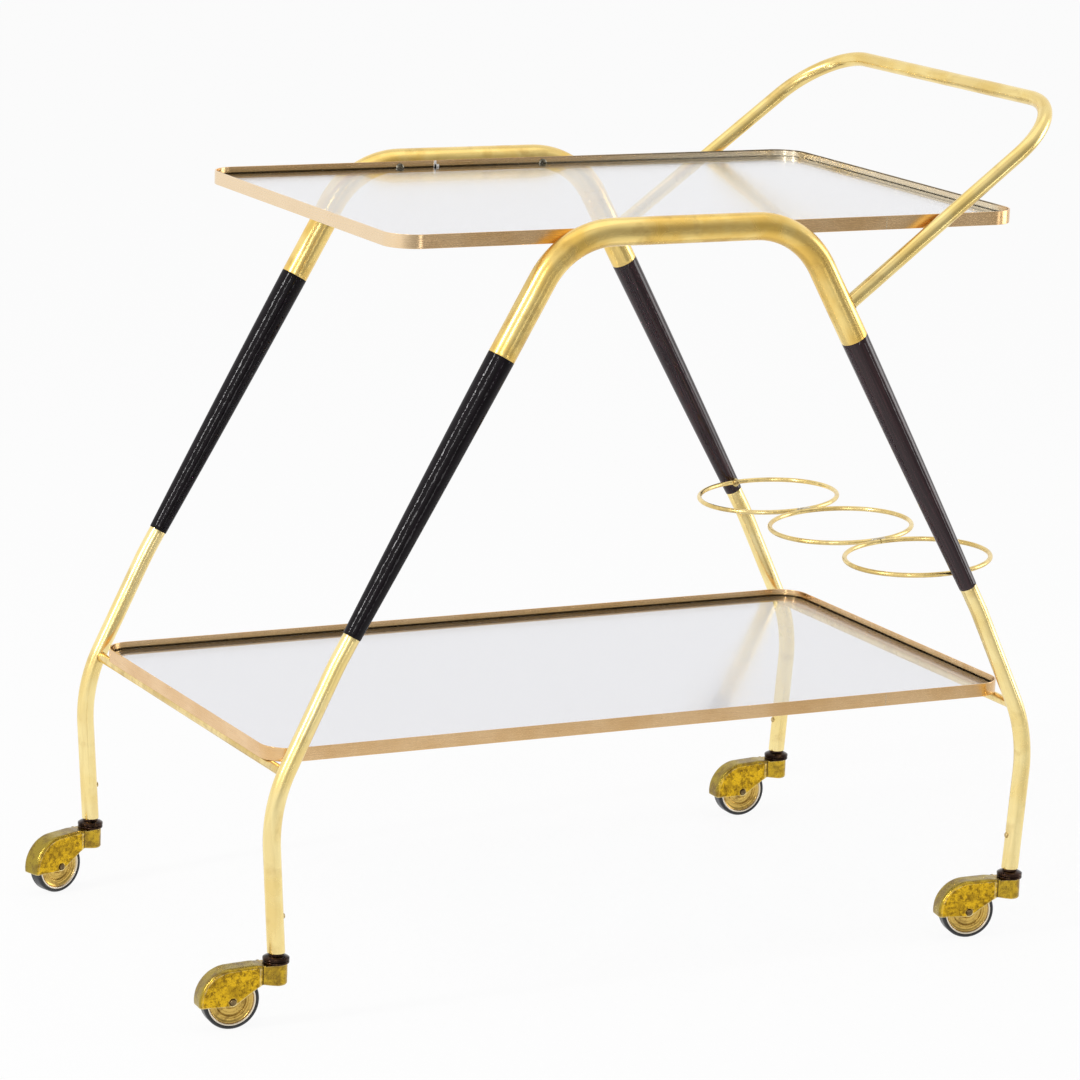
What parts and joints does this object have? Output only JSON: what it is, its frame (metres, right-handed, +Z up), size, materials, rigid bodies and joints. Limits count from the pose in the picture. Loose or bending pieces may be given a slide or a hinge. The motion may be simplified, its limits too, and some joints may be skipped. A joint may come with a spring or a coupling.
{
  "type": "bar cart",
  "caption": "Bar cart with bent brass side frames, tapered dark wood legs, rimmed glass trays, a push handle, a bottle ring rack and hooded swivel casters.",
  "frame": {"origin": "on the floor, under the middle of the cart's overall box", "axes": "+X along the cart towards the push handle, +Y across it, +Z up"},
  "size_m": [0.7504, 0.416, 0.6949],
  "materials": {
    "brass_tube": "polished, gently aged",
    "brass_band": "satin, rolled",
    "cast_brass": "aged casting, worn bright on the edges",
    "dark_bronze": "dark patina",
    "wheel_metal": "tarnished, dished",
    "screw_brass": "worn",
    "solder": "lumpy, silvery",
    "steel": "bright",
    "dark_wood": "ebonised, gloss lacquer",
    "clear_glass": "clear, ground edges",
    "tyre_rubber": "satin black"
  },
  "bodies": {
    "frame": {"arch_near": "brass_tube", "arch_far": "brass_tube", "wood_leg_left_near": "dark_wood", "lower_leg_left_near": "brass_tube", "caster_socket_left_near": "cast_brass", "wood_leg_left_far": "dark_wood", "lower_leg_left_far": "brass_tube", "caster_socket_left_far": "cast_brass", "wood_leg_right_near": "dark_wood", "lower_leg_right_near": "brass_tube", "caster_socket_right_near": "cast_brass", "wood_leg_right_far": "dark_wood", "lower_leg_right_far": "brass_tube", "caster_socket_right_far": "cast_brass", "crossbar_left": "brass_tube", "crossbar_right": "brass_tube", "upper_tray_rim": "brass_band", "upper_tray_glass": "clear_glass", "upper_tray_screws": "steel", "lower_tray_rim": "brass_band", "lower_tray_glass": "clear_glass", "handle": "brass_tube", "bottle_ring_near": "brass_tube", "bottle_ring_middle": "brass_tube", "bottle_ring_far": "brass_tube", "ring_solder": "solder", "ring_screws": "screw_brass", "caster_set_screws": "screw_brass", "caster_collar_left_near": "dark_bronze", "caster_collar_left_far": "dark_bronze", "caster_collar_right_near": "dark_bronze", "caster_collar_right_far": "dark_bronze"},
    "caster_left_near": {"caster_hood_left_near": "cast_brass", "caster_stem_left_near": "steel", "caster_washer_left_near": "dark_bronze", "caster_axle_left_near": "steel"},
    "wheel_left_near": {"caster_wheel_left_near": "wheel_metal", "caster_tyre_left_near": "tyre_rubber"},
    "caster_left_far": {"caster_hood_left_far": "cast_brass", "caster_stem_left_far": "steel", "caster_washer_left_far": "dark_bronze", "caster_axle_left_far": "steel"},
    "wheel_left_far": {"caster_wheel_left_far": "wheel_metal", "caster_tyre_left_far": "tyre_rubber"},
    "caster_right_near": {"caster_hood_right_near": "cast_brass", "caster_stem_right_near": "steel", "caster_washer_right_near": "dark_bronze", "caster_axle_right_near": "steel"},
    "wheel_right_near": {"caster_wheel_right_near": "wheel_metal", "caster_tyre_right_near": "tyre_rubber"},
    "caster_right_far": {"caster_hood_right_far": "cast_brass", "caster_stem_right_far": "steel", "caster_washer_right_far": "dark_bronze", "caster_axle_right_far": "steel"},
    "wheel_right_far": {"caster_wheel_right_far": "wheel_metal", "caster_tyre_right_far": "tyre_rubber"}
  },
  "joints": [
    {"name": "swivel_left_near", "type": "hinge", "parent": "frame", "child": "caster_left_near", "pos_m": [-0.31143, -0.197, 0.0568], "axis": [0, 0, 1], "continuous": true},
    {"name": "wheel_spin_left_near", "type": "hinge", "parent": "caster_left_near", "child": "wheel_left_near", "pos_m": [-0.34834, -0.19442, 0.0225], "axis": [0.0698, 0.9976, 0], "continuous": true},
    {"name": "swivel_left_far", "type": "hinge", "parent": "frame", "child": "caster_left_far", "pos_m": [-0.31143, 0.197, 0.0568], "axis": [0, 0, 1], "continuous": true},
    {"name": "wheel_spin_left_far", "type": "hinge", "parent": "caster_left_far", "child": "wheel_left_far", "pos_m": [-0.34662, 0.18557, 0.0225], "axis": [-0.309, 0.9511, 0], "continuous": true},
    {"name": "swivel_right_near", "type": "hinge", "parent": "frame", "child": "caster_right_near", "pos_m": [0.35015, -0.197, 0.0568], "axis": [0, 0, 1], "continuous": true},
    {"name": "wheel_spin_right_near", "type": "hinge", "parent": "caster_right_near", "child": "wheel_right_near", "pos_m": [0.31378, -0.19019, 0.0225], "axis": [0.184, 0.9829, 0], "continuous": true},
    {"name": "swivel_right_far", "type": "hinge", "parent": "frame", "child": "caster_right_far", "pos_m": [0.35015, 0.197, 0.0568], "axis": [0, 0, 1], "continuous": true},
    {"name": "wheel_spin_right_far", "type": "hinge", "parent": "caster_right_far", "child": "wheel_right_far", "pos_m": [0.31316, 0.19778, 0.0225], "axis": [0.0209, 0.9998, 0], "continuous": true}
  ]
}
